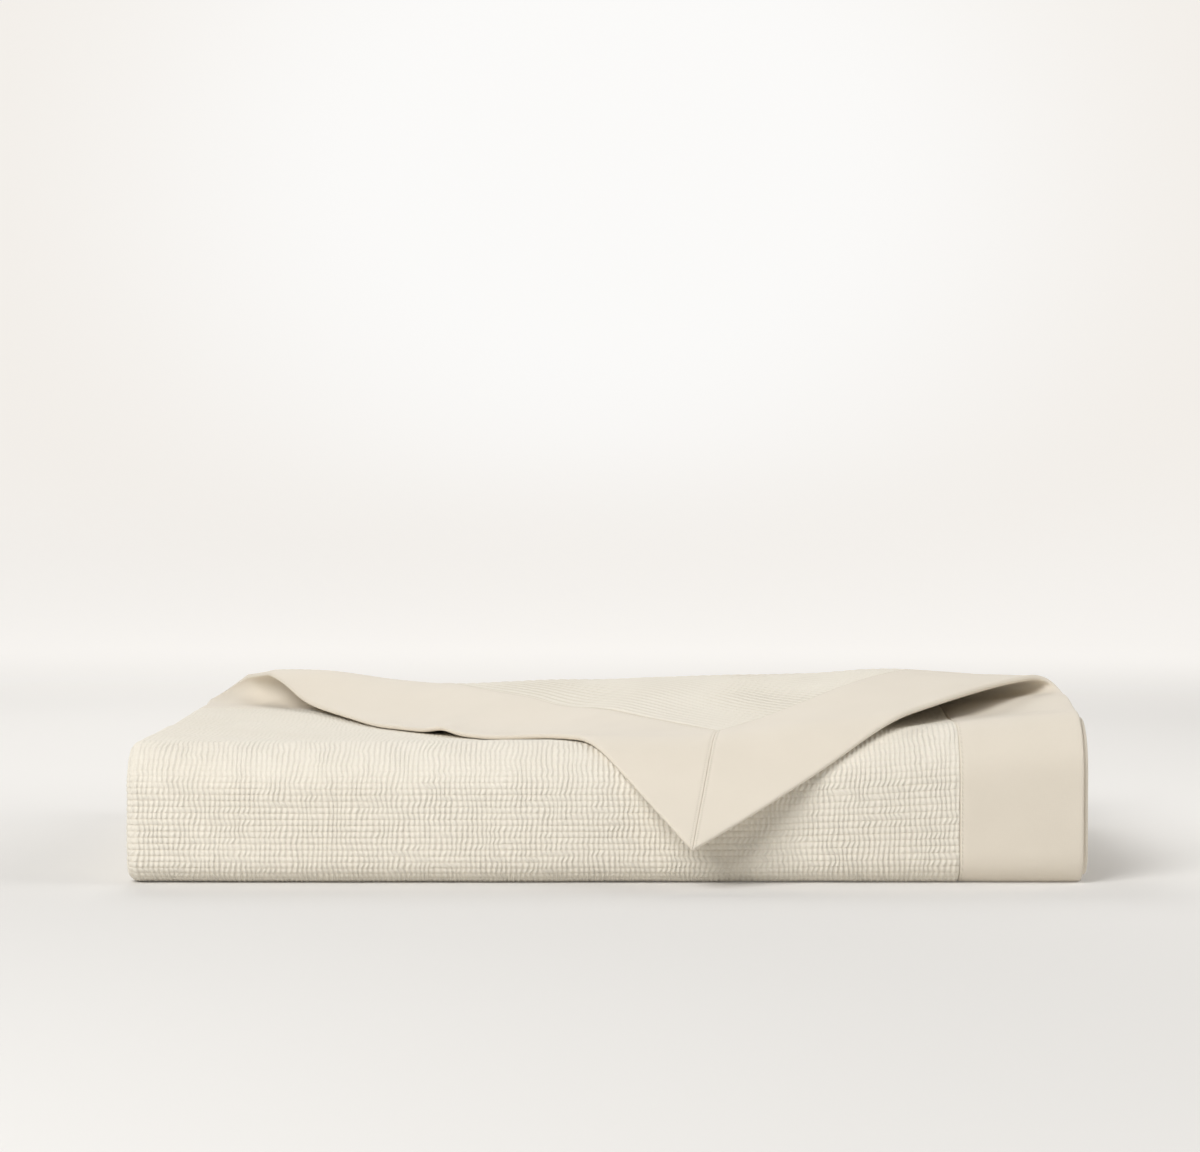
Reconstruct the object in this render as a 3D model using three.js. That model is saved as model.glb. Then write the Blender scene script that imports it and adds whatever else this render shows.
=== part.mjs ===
// A quilt folded up for the shelf: a stitched field inside four plain border strips.
// It is folded in quarters across, doubled lengthwise, and then folded in three like a letter.
// The free back corner of its top ply is turned over a slanting roll, and hangs down the front.
// Every piece is cut flat and carried through the same folds, so seams and mitres meet in place.
import * as THREE from "three";

// The cloth, in millimetres.
const plyThick = 3.2;
const plyPitch = 3.7;
const borderWide = 74;
const seamGap = 0.4;

// The folded stack. X runs across it, Y from its front to its back, and Z up from the surface.
const stackWide = 572;
const stackDeep = 388;
const bundlePitch = 15;
const secondHemReach = 3;
const hemSetBack = 4;
const foldSetBack = 3;
const shoulderRadius = 30;
const footRadius = 16;
const innerCornerRadius = 8;

// How high the pressed stack stands along its width, and the share of it by which its middle sags
// between the fuller folds all round.
const stackForms = [
  { x: -292, height: 84, sag: 0 },
  { x: -180, height: 82.5, sag: 0.075 },
  { x: -60, height: 83, sag: 0.07 },
  { x: 70, height: 83.5, sag: 0.02 },
  { x: 160, height: 90, sag: 0 },
  { x: 225, height: 96.5, sag: 0 },
  { x: 292, height: 103, sag: 0 },
];
const sagForms = [
  { y: 30, share: 0 },
  { y: 120, share: 1 },
  { y: 210, share: 1 },
  { y: 320, share: 0 },
];

// The turned corner: where its fold line leaves the right hem and the back hem, its roll, and how
// far it leans out over the front.
const turnRight = { x: 286, y: 100 };
const turnBack = { x: -272, y: 388 };
const turnHeld = 24;
const rollRadius = 14;
const rollSteps = 8;
const flapGap = 0.8;
const flapLean = THREE.MathUtils.degToRad(52);
const leanSteps = 4;
const flapCreases = [12, 28, 46, 68, 94, 122, 150];

// By the distance along its fold line from the right hem: how full the roll is, how far the ply
// lifts off the stack ahead of it, and how far past it the flap comes down to the stack.
const rollForms = [
  { along: -40, full: 0.62, lead: 6, fall: 130 },
  { along: 3, full: 0.62, lead: 6, fall: 130 },
  { along: 133, full: 1.06, lead: 3, fall: 162 },
  { along: 250, full: 1.24, lead: 0.5, fall: 162 },
  { along: 327, full: 1.2, lead: 0, fall: 118 },
  { along: 450, full: 0.85, lead: 0, fall: 75 },
  { along: 540, full: 1.03, lead: 0, fall: 41 },
  { along: 625, full: 0.84, lead: 0, fall: 37 },
  { along: 700, full: 0.84, lead: 0, fall: 36 },
];
const leadReach = 44;
const leadShares = [1, 0.7, 0.4];

const snap = 0.35;

// A course of straight runs and round turns in one plane, walked by its length.
class Course {
  constructor(a, b, heading) {
    this.end = [a, b];
    this.heading = heading;
    this.length = 0;
    this.legs = [];
    this.creases = [];
  }

  run(length) {
    this.#leg({ length, radius: 0, angle: 0 });
    return this;
  }

  turn(radius, angle, steps) {
    const length = radius * Math.abs(angle);
    for (let i = 1; i < steps; i++) this.creases.push(this.length + (length * i) / steps);
    this.#leg({ length, radius, angle });
    return this;
  }

  #leg(leg) {
    Object.assign(leg, { from: this.length, start: this.end, heading: this.heading });
    this.legs.push(leg);
    this.length += leg.length;
    this.heading += leg.angle;
    this.end = this.place(this.length, 0);
    this.creases.push(this.length);
  }

  // The point at a length along the course, a given distance out to its right-hand side.
  place(length, out) {
    const leg = this.legs.find((l) => length <= l.from + l.length) ?? this.legs.at(-1);
    const along = length - leg.from;
    const right = (heading) => [Math.sin(heading), -Math.cos(heading)];
    const [a, b] = leg.start;
    const [ra, rb] = right(leg.heading);
    if (!leg.radius) return [a - rb * along + ra * out, b + ra * along + rb * out];
    const side = Math.sign(leg.angle);
    const [ta, tb] = right(leg.heading + (side * along) / leg.radius);
    const reach = side * leg.radius;
    return [a - ra * reach + ta * (reach + out), b - rb * reach + tb * (reach + out)];
  }
}

const half = Math.PI;
const quarter = Math.PI / 2;
const bundleHalf = 1.5 * plyPitch + plyThick / 2;
const levelZ = (level) => bundleHalf + (level - 1) * bundlePitch;
const stackHigh = levelZ(6) + bundleHalf;

// Across: four plies, from the right hem to the left, under, back inside, and out to the other hem.
const rightX = stackWide / 2;
const turnX = -rightX + bundleHalf;
const innerTurnX = rightX - plyPitch / 2 - plyThick / 2 - 1;
const across = new Course(rightX, 1.5 * plyPitch, half)
  .run(rightX - turnX)
  .turn(1.5 * plyPitch, half, 5)
  .run(innerTurnX - turnX)
  .turn(plyPitch / 2, half, 4)
  .run(innerTurnX - turnX)
  .turn(plyPitch / 2, -half, 4)
  .run(rightX - turnX + secondHemReach);

// Along: a doubled bundle over the top, down the front, under, and back inside as the tucked third.
const shoulder = shoulderRadius - bundleHalf;
const foot = footRadius - bundleHalf;
const backFoldY = stackDeep - foldSetBack - 1.5 * bundlePitch - bundleHalf;
const innerFrontY = bundleHalf + bundlePitch;
const tuckedY = innerFrontY + bundleHalf + bundlePitch / 2 + bundleHalf + 2;
const along = new Course(stackDeep, levelZ(6), half)
  .run(stackDeep - shoulderRadius)
  .turn(shoulder, quarter, 5)
  .run(levelZ(6) - shoulder - levelZ(1) - foot)
  .turn(foot, quarter, 3)
  .run(backFoldY - footRadius)
  .turn(1.5 * bundlePitch, half, 8)
  .run(backFoldY - tuckedY)
  .turn(bundlePitch / 2, half, 6)
  .run(backFoldY - tuckedY)
  .turn(bundlePitch / 2, -half, 6)
  .run(backFoldY - innerFrontY - innerCornerRadius)
  .turn(innerCornerRadius, -quarter, 3)
  .run(levelZ(5) - levelZ(2) - 2 * innerCornerRadius)
  .turn(innerCornerRadius, -quarter, 3)
  .run(stackDeep - hemSetBack - innerFrontY - innerCornerRadius);

const between = (low, high, value) => THREE.MathUtils.clamp((value - low) / (high - low), 0, 1);
const smooth = THREE.MathUtils.smoothstep;
const eased = (low, high, value) => smooth(value, low, high);

// Reads a table by one column and blends another, straight or with level ends between its rows.
function readTable(rows, key, column, value, blend = between) {
  const found = rows.findIndex((row) => value <= row[key]);
  const i = found < 0 ? rows.length - 1 : Math.max(1, found);
  const [low, high] = [rows[i - 1], rows[i]];
  return low[column] + (high[column] - low[column]) * blend(low[key], high[key], value);
}

// The fold line of the turned corner, and a flat point's place along it and beyond it.
const lineLength = Math.hypot(turnBack.x - turnRight.x, turnBack.y - turnRight.y);
const line = {
  x: (turnBack.x - turnRight.x) / lineLength,
  y: (turnBack.y - turnRight.y) / lineLength,
};
const alongLine = (x, y) => (x - turnRight.x) * line.x + (y - turnRight.y) * line.y;
const beyondLine = (x, y) => (x - turnRight.x) * line.y - (y - turnRight.y) * line.x;
const rollHalf = quarter * rollRadius;
const flapRest = plyThick + flapGap;
const flapRadius = shoulderRadius - plyThick / 2 + flapRest;

// Where the turned corner carries a flat point of the top ply: how far it moves across, its unrolled
// depth, and how far it rises off its place in the stack. The point is given by its place on the flat
// ply and its distance out of it. The fold at the left end follows the ply's own edge there, less and
// less as it goes under.
function turnOver(u, s, out) {
  const topRun = across.legs[0].length;
  const x = rightX - Math.min(u, topRun);
  const y = stackDeep - s;
  const reach = beyondLine(x, y);
  if (reach <= -rollHalf - leadReach) return { x: 0, y, height: 0 };
  const held = 1 - smooth(u, topRun - turnHeld, topRun + across.legs[1].length);
  const form = (column) => readTable(rollForms, "along", column, alongLine(x, y), eased);
  const lead = form("lead") * smooth(reach, -rollHalf - leadReach, -rollHalf);
  const crest = 2 * rollRadius * form("full");
  let moved = -reach;
  let height = crest + (flapRest - crest) * smooth(reach, rollHalf, rollHalf + form("fall")) - out;
  if (reach < rollHalf) {
    const angle = Math.max(0, (reach + rollHalf) / rollRadius);
    moved = Math.min(reach, -rollHalf) + (rollRadius - out) * Math.sin(angle);
    height = lead + ((crest - lead) / 2) * (1 - Math.cos(angle)) + out * Math.cos(angle);
  }
  const shift = (moved - reach) * held;
  return { x: line.y * shift, y: y - line.x * shift, height: (height - out) * held };
}

// The place on the stack's course of a point at an unrolled depth and a radius about the shoulder.
// The flap bends part of the way over the shoulder and hangs straight from there.
function overFront(y, radius) {
  const past = shoulderRadius - y;
  if (past <= 0) return [stackDeep - y, radius - shoulder];
  const bent = Math.min(past / flapRadius, flapLean);
  const free = past - bent * flapRadius;
  const ahead = radius * Math.sin(bent) + free * Math.cos(flapLean);
  const rise = radius * Math.cos(bent) - free * Math.sin(flapLean);
  const flat = stackDeep - shoulderRadius;
  if (rise < 0) return [flat + quarter * shoulder - rise, ahead - shoulder];
  return [flat + Math.atan2(ahead, rise) * shoulder, Math.hypot(ahead, rise) - shoulder];
}

// The top of the outer ply, as far round its fold at the left end as the roll lifts it.
const topEnd = across.legs[1].from + across.legs[1].length;
const onTop = (u, s) => u < topEnd && s <= stackDeep - shoulderRadius;

// Carries a flat point of the cloth, by its distances from the right and the head hem, into place.
function fold(u, s, out) {
  const [x, offset] = across.place(u, out);
  if (!onTop(u, s)) return settle(x, ...along.place(s, offset));
  const turned = turnOver(u, s, out);
  return settle(x + turned.x, ...along.place(...overFront(turned.y, shoulder + offset + turned.height)));
}

// The plies are pressed flatter on the left and in the middle, and stand fuller towards the right.
function settle(x, y, z) {
  const sag = readTable(stackForms, "x", "sag", x) * readTable(sagForms, "y", "share", y);
  return [x, y, (z * readTable(stackForms, "x", "height", x) * (1 - sag)) / stackHigh];
}

// A flat piece of cloth as convex cells on shared points, divided where the folds will bend it.
class FlatPiece {
  constructor(outline) {
    this.points = outline.map((p) => [...p]);
    this.cells = [outline.map((p, i) => i)];
  }

  // Divides the cells that a line crosses. The level is a flat point's distance from the line.
  crease(level, within = () => true) {
    const levels = this.points.map(([u, s]) => {
      const value = level(u, s);
      return Math.abs(value) < snap ? 0 : value;
    });
    const middles = new Map();
    const key = (a, b) => (a < b ? a + "_" + b : b + "_" + a);
    const crossed = new Set(this.cells.filter((cell) => within(...this.#centre(cell))));
    for (const cell of crossed)
      cell.forEach((a, i) => {
        const b = cell[(i + 1) % cell.length];
        if (levels[a] * levels[b] >= 0 || middles.has(key(a, b))) return;
        const share = levels[a] / (levels[a] - levels[b]);
        const [p, q] = [this.points[a], this.points[b]];
        middles.set(key(a, b), this.points.push(p.map((v, j) => v + (q[j] - v) * share)) - 1);
        levels.push(0);
      });
    this.cells = this.cells.flatMap((cell) => {
      const ring = cell.flatMap((a, i) => {
        const middle = middles.get(key(a, cell[(i + 1) % cell.length]));
        return middle === undefined ? [a] : [a, middle];
      });
      return crossed.has(cell) ? this.#divide(ring, levels) : [ring];
    });
  }

  #centre(cell) {
    return [0, 1].map((j) => cell.reduce((sum, p) => sum + this.points[p][j], 0) / cell.length);
  }

  // Cuts a cell in two along the points that lie on the line, if it has cloth on both sides.
  #divide(ring, levels) {
    const n = ring.length;
    const at = (i) => levels[ring[(i + n) % n]];
    const first = ring.findIndex((p, i) => at(i) > 0 && at(i - 1) <= 0);
    if (first < 0 || !ring.some((p) => levels[p] < 0)) return [ring];
    let last = first;
    while (at(last + 1) > 0) last++;
    const part = (from, to) => Array.from({ length: to - from + 1 }, (_, i) => ring[(from + i + n) % n]);
    return [part(first - 1, last + 1), part(last + 1, first - 1 + n)];
  }

  // The cells as triangles: each is a fan from a corner that sees all of its sides.
  faces() {
    return this.cells.flatMap((cell) => {
      const fans = cell.map((_, start) => {
        const ring = cell.map((__, i) => cell[(start + i) % cell.length]);
        return ring.slice(2).map((c, i) => [ring[0], ring[i + 1], c]);
      });
      const thinnest = (fan) => Math.min(...fan.map((face) => this.#area(face)));
      return fans.reduce((best, fan) => (thinnest(fan) > thinnest(best) ? fan : best));
    });
  }

  #area([a, b, c]) {
    const [p, q, r] = [this.points[a], this.points[b], this.points[c]];
    return (q[0] - p[0]) * (r[1] - p[1]) - (q[1] - p[1]) * (r[0] - p[0]);
  }

  // The edges with cloth on one side only, in the order in which their faces run.
  static rim(faces) {
    const edges = new Map();
    for (const face of faces)
      face.forEach((a, i) => edges.set(a + "_" + face[(i + 1) % 3], [a, face[(i + 1) % 3]]));
    return [...edges.values()].filter(([a, b]) => !edges.has(b + "_" + a));
  }
}

// The lines that bend the cloth: the folds of the stack, the lines where its form changes, and
// those of the turned corner.
function creaseAll(piece) {
  for (const at of across.creases) piece.crease((u) => u - at);
  for (const at of along.creases) piece.crease((u, s) => s - at);
  for (const { x } of stackForms.slice(1, -1))
    for (const at of crossings(across, x)) piece.crease((u) => u - at);
  for (const { y } of sagForms) for (const at of crossings(along, y)) piece.crease((u, s) => s - at);
  const topRun = across.legs[0].length;
  const beyond = (u, s) => beyondLine(rightX - Math.min(u, topRun), stackDeep - s);
  const ahead = leadShares.map((share) => -rollHalf - leadReach * share);
  const rolled = Array.from({ length: rollSteps + 1 }, (_, i) => rollHalf * ((2 * i) / rollSteps - 1));
  const fallen = flapCreases.map((past) => rollHalf + past);
  for (const at of [...ahead, ...rolled, ...fallen]) piece.crease((u, s) => beyond(u, s) - at, onTop);
  const onFlap = (u, s) => onTop(u, s) && beyond(u, s) > rollHalf;
  const bends = Array.from({ length: leanSteps }, (_, i) => (flapRadius * flapLean * (i + 1)) / leanSteps);
  for (const at of [...sagForms.map(({ y }) => y), ...bends.map((past) => shoulderRadius - past)])
    piece.crease((u, s) => stackDeep - s + 2 * line.x * beyond(u, s) - at, onFlap);
  for (const { x } of stackForms.slice(1, -1))
    piece.crease((u, s) => rightX - u - 2 * line.y * beyond(u, s) - x, onFlap);
}

// Where the level runs of a course pass a place.
function crossings(course, at) {
  const runs = course.legs.filter((leg) => !leg.radius && Math.abs(Math.cos(leg.heading)) > 0.5);
  const passing = runs.filter((leg) => {
    const walked = (at - leg.start[0]) * Math.cos(leg.heading);
    return walked > 0 && walked < leg.length;
  });
  return passing.map((leg) => leg.from + Math.abs(at - leg.start[0]));
}

// Two edges that meet in a seam are split the same way, by this order of their flat points.
const rank = ([u, s]) => u + 2 * s;

// A piece of cloth: its face and its back through the folds, and its edges between them.
function clothPiece(name, outline, finish) {
  const piece = new FlatPiece(outline);
  creaseAll(piece);
  const count = piece.points.length;
  const face = piece.points.map(([u, s]) => fold(u, s, plyThick / 2));
  const back = piece.points.map(([u, s]) => fold(u, s, -plyThick / 2));
  const faces = piece.faces();
  const index = [];
  for (const [a, b, c] of faces) index.push(a, b, c, count + a, count + c, count + b);
  for (const [a, b] of FlatPiece.rim(faces)) {
    const [c, d] = [count + a, count + b];
    if (rank(piece.points[a]) < rank(piece.points[b])) index.push(b, a, c, b, c, d);
    else index.push(b, a, d, a, c, d);
  }
  const geometry = new THREE.BufferGeometry();
  geometry.setAttribute("position", new THREE.Float32BufferAttribute([...face, ...back].flat(), 3));
  geometry.setIndex(index);
  geometry.computeVertexNormals();
  const mesh = new THREE.Mesh(geometry, new THREE.MeshStandardMaterial(finish));
  mesh.name = name;
  return mesh;
}

const fieldFinish = { color: 0xeee7d6, roughness: 0.92, metalness: 0 };
const borderFinish = { color: 0xe2d9ca, roughness: 0.8, metalness: 0 };

// The flat pieces. Each outline runs from the right hem (u = 0) and the head hem (s = 0).
const clothWide = across.length;
const clothLong = along.length;
const seam = borderWide - seamGap / 2;
const fieldEdge = borderWide + seamGap / 2;
const mitre = seamGap / Math.SQRT2;

function rectangle(u0, u1, s0, s1) {
  return [[u0, s0], [u1, s0], [u1, s1], [u0, s1]];
}

const sideBorder = [
  [0, mitre],
  [seam, seam + mitre],
  [seam, clothLong - seam - mitre],
  [0, clothLong - mitre],
];
const endBorder = [
  [mitre, 0],
  [clothWide - mitre, 0],
  [clothWide - seam - mitre, seam],
  [seam + mitre, seam],
];
const mirrored = (outline, flip) => outline.map(flip).reverse();

const quilt = new THREE.Group();
quilt.add(
  clothPiece(
    "quilted_field",
    rectangle(fieldEdge, clothWide - fieldEdge, fieldEdge, clothLong - fieldEdge),
    fieldFinish,
  ),
  clothPiece("border_right", sideBorder, borderFinish),
  clothPiece("border_left", mirrored(sideBorder, ([u, s]) => [clothWide - u, s]), borderFinish),
  clothPiece("border_head", endBorder, borderFinish),
  clothPiece("border_foot", mirrored(endBorder, ([u, s]) => [u, clothLong - s]), borderFinish),
);

// The origin is under the middle of the whole folded quilt.
const box = new THREE.Box3().setFromObject(quilt);
const middle = box.getCenter(new THREE.Vector3());
quilt.position.set(-middle.x, -middle.y, -box.min.z);

export default quilt;
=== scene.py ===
import math

import bpy
import numpy as np
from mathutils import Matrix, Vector


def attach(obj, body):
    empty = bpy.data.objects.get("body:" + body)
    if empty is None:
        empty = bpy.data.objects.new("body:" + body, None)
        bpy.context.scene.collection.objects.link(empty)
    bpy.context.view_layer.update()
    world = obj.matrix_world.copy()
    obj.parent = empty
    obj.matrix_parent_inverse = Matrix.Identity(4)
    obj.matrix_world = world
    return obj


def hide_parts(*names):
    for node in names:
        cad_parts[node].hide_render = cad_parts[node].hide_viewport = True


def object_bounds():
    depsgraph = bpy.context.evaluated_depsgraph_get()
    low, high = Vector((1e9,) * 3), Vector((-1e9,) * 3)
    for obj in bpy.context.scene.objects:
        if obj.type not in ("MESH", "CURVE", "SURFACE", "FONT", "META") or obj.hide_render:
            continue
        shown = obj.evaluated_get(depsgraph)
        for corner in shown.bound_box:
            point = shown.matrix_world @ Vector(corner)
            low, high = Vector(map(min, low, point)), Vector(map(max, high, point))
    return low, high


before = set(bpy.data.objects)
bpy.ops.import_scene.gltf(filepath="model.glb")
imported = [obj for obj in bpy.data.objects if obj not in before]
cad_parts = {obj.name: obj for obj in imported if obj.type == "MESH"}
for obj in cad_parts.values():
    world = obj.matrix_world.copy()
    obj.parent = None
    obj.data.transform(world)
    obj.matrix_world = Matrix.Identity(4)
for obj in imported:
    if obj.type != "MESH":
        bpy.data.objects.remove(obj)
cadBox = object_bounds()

# The cloth's sizes are in millimetres and become metres in fold. The camera and the studio are in metres.
mm = 0.001
photoSize = (1200, 1152)

clothSizes = {
    "thick": 3.2,
    "pitch": 3.7,
    "border": 74,
    "seamGap": 0.12,
}

stackSizes = {
    "wide": 572,
    "deep": 388,
    "bundlePitch": 15,
    "secondHemReach": 3,
    "turnClearance": 1,
    "tuckClearance": 2,
    "hemSetBack": 4,
    "foldSetBack": 3,
    "shoulder": 30,
    "foot": 16,
    "innerCorner": 8,
    "heightAt": [(-292, 84), (-180, 82.5), (-60, 83), (70, 83.5), (160, 90), (225, 96.5), (292, 103)],
    "heightSoftness": 60,
    # the middle sags between the fuller folds round it: by what share across, and how much of that by depth
    "sagAcross": [(-292, 0), (-180, 0.075), (-60, 0.07), (70, 0.02), (160, 0), (292, 0)],
    "sagDeep": [(30, 0), (120, 1), (210, 1), (320, 0)],
}

turnSizes = {
    # the fold line's ends on the stack, and how far short of the left fold the turn has full effect
    "right": (286, 100),
    "back": (-272, 388),
    "held": 24,
    "roll": 14,
    "gap": 0.8,
    "leadReach": 44,
    "lean": math.radians(52),
    # along the fold line from the right hem: fullness of the roll, lift of the ply ahead of it, and how far
    # past the roll the flap comes down to the stack
    "fullAt": [(-40, 0.62), (3, 0.62), (133, 1.06), (250, 1.24), (327, 1.2), (450, 0.85), (540, 1.03),
               (625, 0.84), (700, 0.84)],
    "leadAt": [(-40, 6), (3, 6), (133, 3), (250, 0.5), (327, 0), (700, 0)],
    "fallAt": [(-40, 130), (3, 130), (133, 162), (250, 162), (327, 118), (450, 75), (540, 41),
               (625, 37), (700, 36)],
    # one small lift of the hem where it lies on the stack: its place along the line, width and height
    "buckle": (373, 14, 3.2),
    "buckleFrom": (70, 140),
}

thick, pitch = clothSizes["thick"], clothSizes["pitch"]
deep, shoulder = stackSizes["deep"], stackSizes["shoulder"]
bundleHalf = 1.5 * pitch + thick / 2


def ease(low, high, value):
    share = np.clip((value - low) / (high - low), 0, 1)
    return share * share * (3 - 2 * share)


def easedTable(rows, value):
    # blends between the rows of a table with level tangents at each row
    keys, values = np.array(rows, float).T
    at = np.clip(np.searchsorted(keys, value) - 1, 0, len(keys) - 2)
    share = ease(keys[at], keys[at + 1], value)
    return values[at] + (values[at + 1] - values[at]) * share


class Course:
    # straight runs and round turns in one plane, walked by length
    def __init__(self, a, b, heading):
        self.end, self.heading, self.length, self.legs = (a, b), heading, 0.0, []

    def leg(self, length, radius=0.0, angle=0.0):
        self.legs.append((self.length, length, radius, angle, self.end, self.heading))
        self.length += length
        self.heading += angle
        a, b = self.place(np.array([self.length]), 0.0)
        self.end = (float(a[0]), float(b[0]))
        return self

    def run(self, length):
        return self.leg(length)

    def turn(self, radius, angle):
        return self.leg(radius * abs(angle), radius, angle)

    def place(self, length, out):
        # the point at each length, a distance out to the right-hand side
        length = np.asarray(length, float)
        out = np.broadcast_to(out, length.shape)
        a, b = np.zeros(length.shape), np.zeros(length.shape)
        for i, (start, size, radius, angle, (sa, sb), heading) in enumerate(self.legs):
            last = i == len(self.legs) - 1
            here = (length >= start) & ((length <= start + size) | last) if i else length <= size
            t, w = length[here] - start, out[here]
            ra, rb = math.sin(heading), -math.cos(heading)
            if not radius:
                a[here] = sa - rb * t + ra * w
                b[here] = sb + ra * t + rb * w
                continue
            side = math.copysign(1, angle)
            turned = heading + side * t / radius
            reach = side * radius
            a[here] = sa - ra * reach + np.sin(turned) * (reach + w)
            b[here] = sb - rb * reach - np.cos(turned) * (reach + w)
        return a, b

    def stations(self, low, high, step, turnStep):
        # lengths from low to high, with a point at each end of a turn and closer ones inside it
        marks = []
        for start, size, radius, angle, *_ in self.legs:
            spacing = turnStep if radius else step
            count = max(1, math.ceil(size / spacing))
            marks += [start + size * i / count for i in range(count)]
        marks = [m for m in marks if low + 0.3 < m < high - 0.3]
        return np.array([low] + marks + [high])


def levelZ(level):
    return bundleHalf + (level - 1) * stackSizes["bundlePitch"]


half, quarter = math.pi, math.pi / 2  # turns of the cloth
stackHigh = levelZ(6) + bundleHalf
rightX = stackSizes["wide"] / 2
turnX = -rightX + bundleHalf
innerTurnX = rightX - pitch / 2 - thick / 2 - stackSizes["turnClearance"]
across = (Course(rightX, 1.5 * pitch, half)
          .run(rightX - turnX).turn(1.5 * pitch, half)
          .run(innerTurnX - turnX).turn(pitch / 2, half)
          .run(innerTurnX - turnX).turn(pitch / 2, -half)
          .run(rightX - turnX + stackSizes["secondHemReach"]))

shoulderTurn, footTurn = shoulder - bundleHalf, stackSizes["foot"] - bundleHalf
bundlePitch, innerCorner = stackSizes["bundlePitch"], stackSizes["innerCorner"]
backFoldY = deep - stackSizes["foldSetBack"] - 1.5 * bundlePitch - bundleHalf
innerFrontY = bundleHalf + bundlePitch
tuckedY = innerFrontY + 2 * bundleHalf + bundlePitch / 2 + stackSizes["tuckClearance"]
along = (Course(deep, levelZ(6), half)
         .run(deep - shoulder).turn(shoulderTurn, quarter)
         .run(levelZ(6) - shoulderTurn - levelZ(1) - footTurn).turn(footTurn, quarter)
         .run(backFoldY - stackSizes["foot"]).turn(1.5 * bundlePitch, half)
         .run(backFoldY - tuckedY).turn(bundlePitch / 2, half)
         .run(backFoldY - tuckedY).turn(bundlePitch / 2, -half)
         .run(backFoldY - innerFrontY - innerCorner).turn(innerCorner, -quarter)
         .run(levelZ(5) - levelZ(2) - 2 * innerCorner).turn(innerCorner, -quarter)
         .run(deep - stackSizes["hemSetBack"] - innerFrontY - innerCorner))
clothWide, clothLong = across.length, along.length
topRun = across.legs[0][1]
topEnd = across.legs[1][0] + across.legs[1][1]
print(f"cloth {clothWide:.0f} x {clothLong:.0f} mm")

# The pressed height and the sag along the stack's width, softened from their tables.
heightStep = 2.0
heightX = np.arange(-300, 300 + heightStep / 2, heightStep)


def softTable(rows):
    count = int(stackSizes["heightSoftness"] / heightStep) | 1
    padded = np.pad(np.interp(heightX, *np.array(rows, float).T), count // 2, mode="edge")
    return np.convolve(padded, np.ones(count) / count, "valid")


heightZ = softTable(stackSizes["heightAt"])
sagZ = softTable(stackSizes["sagAcross"])

# Step from the cloth's own millimetres to the CAD model's place.
cadShift = Vector(cadBox[1]) - Vector((rightX + stackSizes["secondHemReach"], deep, 0)) * mm

lineVector = Vector(turnSizes["back"]) - Vector(turnSizes["right"])
lineX, lineY = lineVector.normalized()
rollRadius = turnSizes["roll"]
rollHalf = quarter * rollRadius
flapRest = thick + turnSizes["gap"]


def overFront(y, radius):
    # the place on the stack's course of a point of the flap: it bends over the shoulder and leans out from it
    flapRadius = shoulder - thick / 2 + flapRest
    past, lean = shoulder - y, turnSizes["lean"]
    bent = np.clip(past / flapRadius, 0, lean)
    free = np.maximum(past - flapRadius * lean, 0)
    ahead = radius * np.sin(bent) + free * math.cos(lean)
    rise = radius * np.cos(bent) - free * math.sin(lean)
    around = rise > 0
    length = deep - shoulder + np.where(around, np.arctan2(ahead, rise) * shoulderTurn,
                                        quarter * shoulderTurn - rise)
    out = np.where(around, np.hypot(ahead, rise), ahead) - shoulderTurn
    return np.where(past > 0, length, deep - y), np.where(past > 0, out, radius - shoulderTurn)


def beyondLine(u, s):
    # how far a flat point of the top ply lies past the fold line
    x, y = rightX - np.minimum(u, topRun), deep - s
    return (x - turnSizes["right"][0]) * lineY - (y - turnSizes["right"][1]) * lineX


def turnOver(u, s, out):
    # how far the turned corner carries a point of the top ply away from its place in the stack
    x, y = rightX - np.minimum(u, topRun), deep - s
    reach = beyondLine(u, s)
    alongLine = (x - turnSizes["right"][0]) * lineX + (y - turnSizes["right"][1]) * lineY
    held = ease(topEnd, topRun - turnSizes["held"], u)
    lead = easedTable(turnSizes["leadAt"], alongLine)
    lead = lead * ease(-rollHalf - turnSizes["leadReach"], -rollHalf, reach)
    crest = 2 * rollRadius * easedTable(turnSizes["fullAt"], alongLine)
    settle = 1 - ease(rollHalf, rollHalf + easedTable(turnSizes["fallAt"], alongLine), reach)
    rolled = reach < rollHalf
    angle = np.clip((reach + rollHalf) / rollRadius, 0, math.pi)
    moved = np.where(rolled, np.minimum(reach, -rollHalf) + (rollRadius - out) * np.sin(angle), -reach)
    buckleAt, buckleWide, buckleHigh = turnSizes["buckle"]
    buckle = buckleHigh * np.exp(-((alongLine - buckleAt) / buckleWide) ** 2)
    buckle = buckle * ease(*turnSizes["buckleFrom"], reach)
    height = np.where(rolled, lead + (crest - lead) / 2 * (1 - np.cos(angle)) + out * np.cos(angle),
                      flapRest + (crest - flapRest) * settle + buckle - out)
    shift = (moved - reach) * held
    active = reach > -rollHalf - turnSizes["leadReach"]
    return (np.where(active, lineY * shift, 0),
            np.where(active, y - lineX * shift, deep - s),
            np.where(active, (height - out) * held, 0))


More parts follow.
